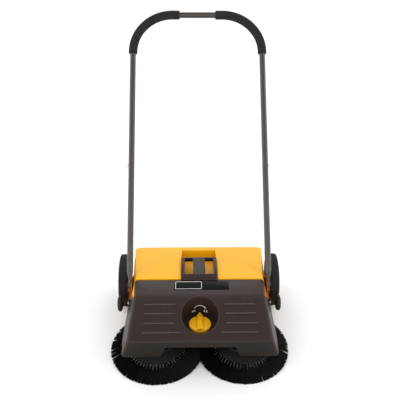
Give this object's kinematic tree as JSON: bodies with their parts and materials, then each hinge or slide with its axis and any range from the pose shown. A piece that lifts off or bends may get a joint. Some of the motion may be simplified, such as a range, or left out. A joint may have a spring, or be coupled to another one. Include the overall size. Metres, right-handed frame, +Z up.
{
  "type": "walk behind sweeper",
  "caption": "Push sweeper with twin disc brushes under a sloped hood, geared to the two rear wheels, with a pull-out debris hopper and a folding U handle.",
  "frame": {"origin": "middle of the bounding box on the floor plane, with the handle leaning back as stored", "axes": "+Z up, -Y is the travel direction and front of the hood, +X is to the right when seen from the front"},
  "size_m": [0.524, 0.8754, 0.8675],
  "materials": {
    "dark_moulding": "fine grained dark brown-grey moulding",
    "yellow_moulding": "smooth yellow moulding",
    "black_plastic": "plain black moulding",
    "bristle": "black synthetic bristle",
    "tyre": "ribbed soft tread",
    "foam": "closed-cell foam sleeve",
    "tube_paint": "dark metallic coat",
    "steel": "plated",
    "gear_resin": "natural resin",
    "label_black": "blank plate",
    "scale_grey": "light grey marking"
  },
  "bodies": {
    "frame": {"chassis": "dark_moulding", "side_panels": "yellow_moulding", "hood": "dark_moulding", "hood_screws": "steel", "carry_bridge": "dark_moulding", "label_plate": "label_black", "dial_scale": "scale_grey", "guide_pin": "steel", "idler_studs": "steel", "axle_bushes": "gear_resin", "pivot_bolts": "black_plastic"},
    "height_knob": {"height_knob": "yellow_moulding", "knob_shaft": "steel"},
    "carriage": {"carriage": "black_plastic", "roller_axle": "steel"},
    "roller": {"roller": "black_plastic"},
    "hopper": {"hopper_tub": "yellow_moulding", "hopper_lid": "yellow_moulding", "intake_flap": "tyre"},
    "handle": {"lower_tube_l": "tube_paint", "lower_tube_r": "tube_paint", "upper_tube": "tube_paint", "grip_l": "foam", "grip_r": "foam"},
    "wheel_l": {"drive_gear_l": "gear_resin", "axle_l": "steel", "rim_l": "dark_moulding", "tyre_l": "tyre", "hub_cap_l": "dark_moulding"},
    "idler_rear_l": {"idler_rear_l": "gear_resin"},
    "idler_front_l": {"idler_front_l": "gear_resin"},
    "layshaft_l": {"layshaft_l": "steel", "pinion_l": "gear_resin"},
    "brush_l": {"disc_l": "black_plastic", "bristles_l": "bristle", "crown_l": "gear_resin", "spindle_l": "steel", "brush_nut_l": "black_plastic"},
    "button_l": {"button_l": "steel"},
    "hand_knob_l": {"hand_knob_l": "black_plastic", "knob_stud_l": "steel"},
    "wheel_r": {"drive_gear_r": "gear_resin", "axle_r": "steel", "rim_r": "dark_moulding", "tyre_r": "tyre", "hub_cap_r": "dark_moulding"},
    "idler_rear_r": {"idler_rear_r": "gear_resin"},
    "idler_front_r": {"idler_front_r": "gear_resin"},
    "layshaft_r": {"layshaft_r": "steel", "pinion_r": "gear_resin"},
    "brush_r": {"disc_r": "black_plastic", "bristles_r": "bristle", "crown_r": "gear_resin", "spindle_r": "steel", "brush_nut_r": "black_plastic"},
    "button_r": {"button_r": "steel"},
    "hand_knob_r": {"hand_knob_r": "black_plastic", "knob_stud_r": "steel"}
  },
  "joints": [
    {"name": "handle_tilt", "type": "hinge", "parent": "frame", "child": "handle", "pos_m": [0, -0.17438, 0.146], "axis": [1, 0, 0], "range_deg": [0, 75]},
    {"name": "hopper_slide", "type": "slide", "parent": "frame", "child": "hopper", "axis": [0, 1, 0], "range_m": [0, 0.28]},
    {"name": "height_knob_turn", "type": "hinge", "parent": "frame", "child": "height_knob", "pos_m": [0, -0.30988, 0.1], "axis": [0, 0, 1], "range_deg": [-60, 60]},
    {"name": "carriage_lift", "type": "slide", "parent": "frame", "child": "carriage", "axis": [0, 0, 1], "range_m": [-0.0061, 0.0061]},
    {"name": "roller_spin", "type": "hinge", "parent": "carriage", "child": "roller", "pos_m": [0, -0.20338, 0.024], "axis": [1, 0, 0], "continuous": true},
    {"name": "wheel_l_spin", "type": "hinge", "parent": "frame", "child": "wheel_l", "pos_m": [-0.247, -0.07387, 0.0875], "axis": [1, 0, 0], "continuous": true},
    {"name": "idler_rear_l_spin", "type": "hinge", "parent": "frame", "child": "idler_rear_l", "pos_m": [-0.2, -0.17486, 0.0875], "axis": [1, 0, 0], "continuous": true},
    {"name": "idler_front_l_spin", "type": "hinge", "parent": "frame", "child": "idler_front_l", "pos_m": [-0.2, -0.25287, 0.0875], "axis": [1, 0, 0], "continuous": true},
    {"name": "layshaft_l_spin", "type": "hinge", "parent": "frame", "child": "layshaft_l", "pos_m": [-0.18, -0.31287, 0.0875], "axis": [1, 0, 0], "continuous": true},
    {"name": "brush_l_spin", "type": "hinge", "parent": "frame", "child": "brush_l", "pos_m": [-0.131, -0.30738, 0.00911], "axis": [0, -0.0698, 0.9976], "continuous": true},
    {"name": "button_l_press", "type": "slide", "parent": "handle", "child": "button_l", "axis": [1, 0, 0], "range_m": [0, 0.004], "stiffness_N_per_m": 400},
    {"name": "hand_knob_l_turn", "type": "hinge", "parent": "frame", "child": "hand_knob_l", "pos_m": [-0.25, -0.19538, 0.09], "axis": [1, 0, 0], "continuous": true},
    {"name": "wheel_r_spin", "type": "hinge", "parent": "frame", "child": "wheel_r", "pos_m": [0.247, -0.07387, 0.0875], "axis": [1, 0, 0], "continuous": true},
    {"name": "idler_rear_r_spin", "type": "hinge", "parent": "frame", "child": "idler_rear_r", "pos_m": [0.2, -0.17486, 0.0875], "axis": [1, 0, 0], "continuous": true},
    {"name": "idler_front_r_spin", "type": "hinge", "parent": "frame", "child": "idler_front_r", "pos_m": [0.2, -0.25287, 0.0875], "axis": [1, 0, 0], "continuous": true},
    {"name": "layshaft_r_spin", "type": "hinge", "parent": "frame", "child": "layshaft_r", "pos_m": [0.18, -0.31287, 0.0875], "axis": [1, 0, 0], "continuous": true},
    {"name": "brush_r_spin", "type": "hinge", "parent": "frame", "child": "brush_r", "pos_m": [0.131, -0.30738, 0.00911], "axis": [0, -0.0698, 0.9976], "continuous": true},
    {"name": "button_r_press", "type": "slide", "parent": "handle", "child": "button_r", "axis": [-1, 0, 0], "range_m": [0, 0.004], "stiffness_N_per_m": 400},
    {"name": "hand_knob_r_turn", "type": "hinge", "parent": "frame", "child": "hand_knob_r", "pos_m": [0.25, -0.19538, 0.09], "axis": [1, 0, 0], "continuous": true}
  ],
  "couplings": [
    {"joint": "carriage_lift", "follows": "height_knob_turn", "m_per_rad": -0.00573},
    {"joint": "idler_rear_l_spin", "follows": "wheel_l_spin", "ratio": -1.5897},
    {"joint": "idler_front_l_spin", "follows": "wheel_l_spin", "ratio": 1.5897},
    {"joint": "layshaft_l_spin", "follows": "wheel_l_spin", "ratio": -2.9524},
    {"joint": "brush_l_spin", "follows": "wheel_l_spin", "ratio": 1.3286},
    {"joint": "idler_rear_r_spin", "follows": "wheel_r_spin", "ratio": -1.5897},
    {"joint": "idler_front_r_spin", "follows": "wheel_r_spin", "ratio": 1.5897},
    {"joint": "layshaft_r_spin", "follows": "wheel_r_spin", "ratio": -2.9524},
    {"joint": "brush_r_spin", "follows": "wheel_r_spin", "ratio": -1.3286}
  ]
}
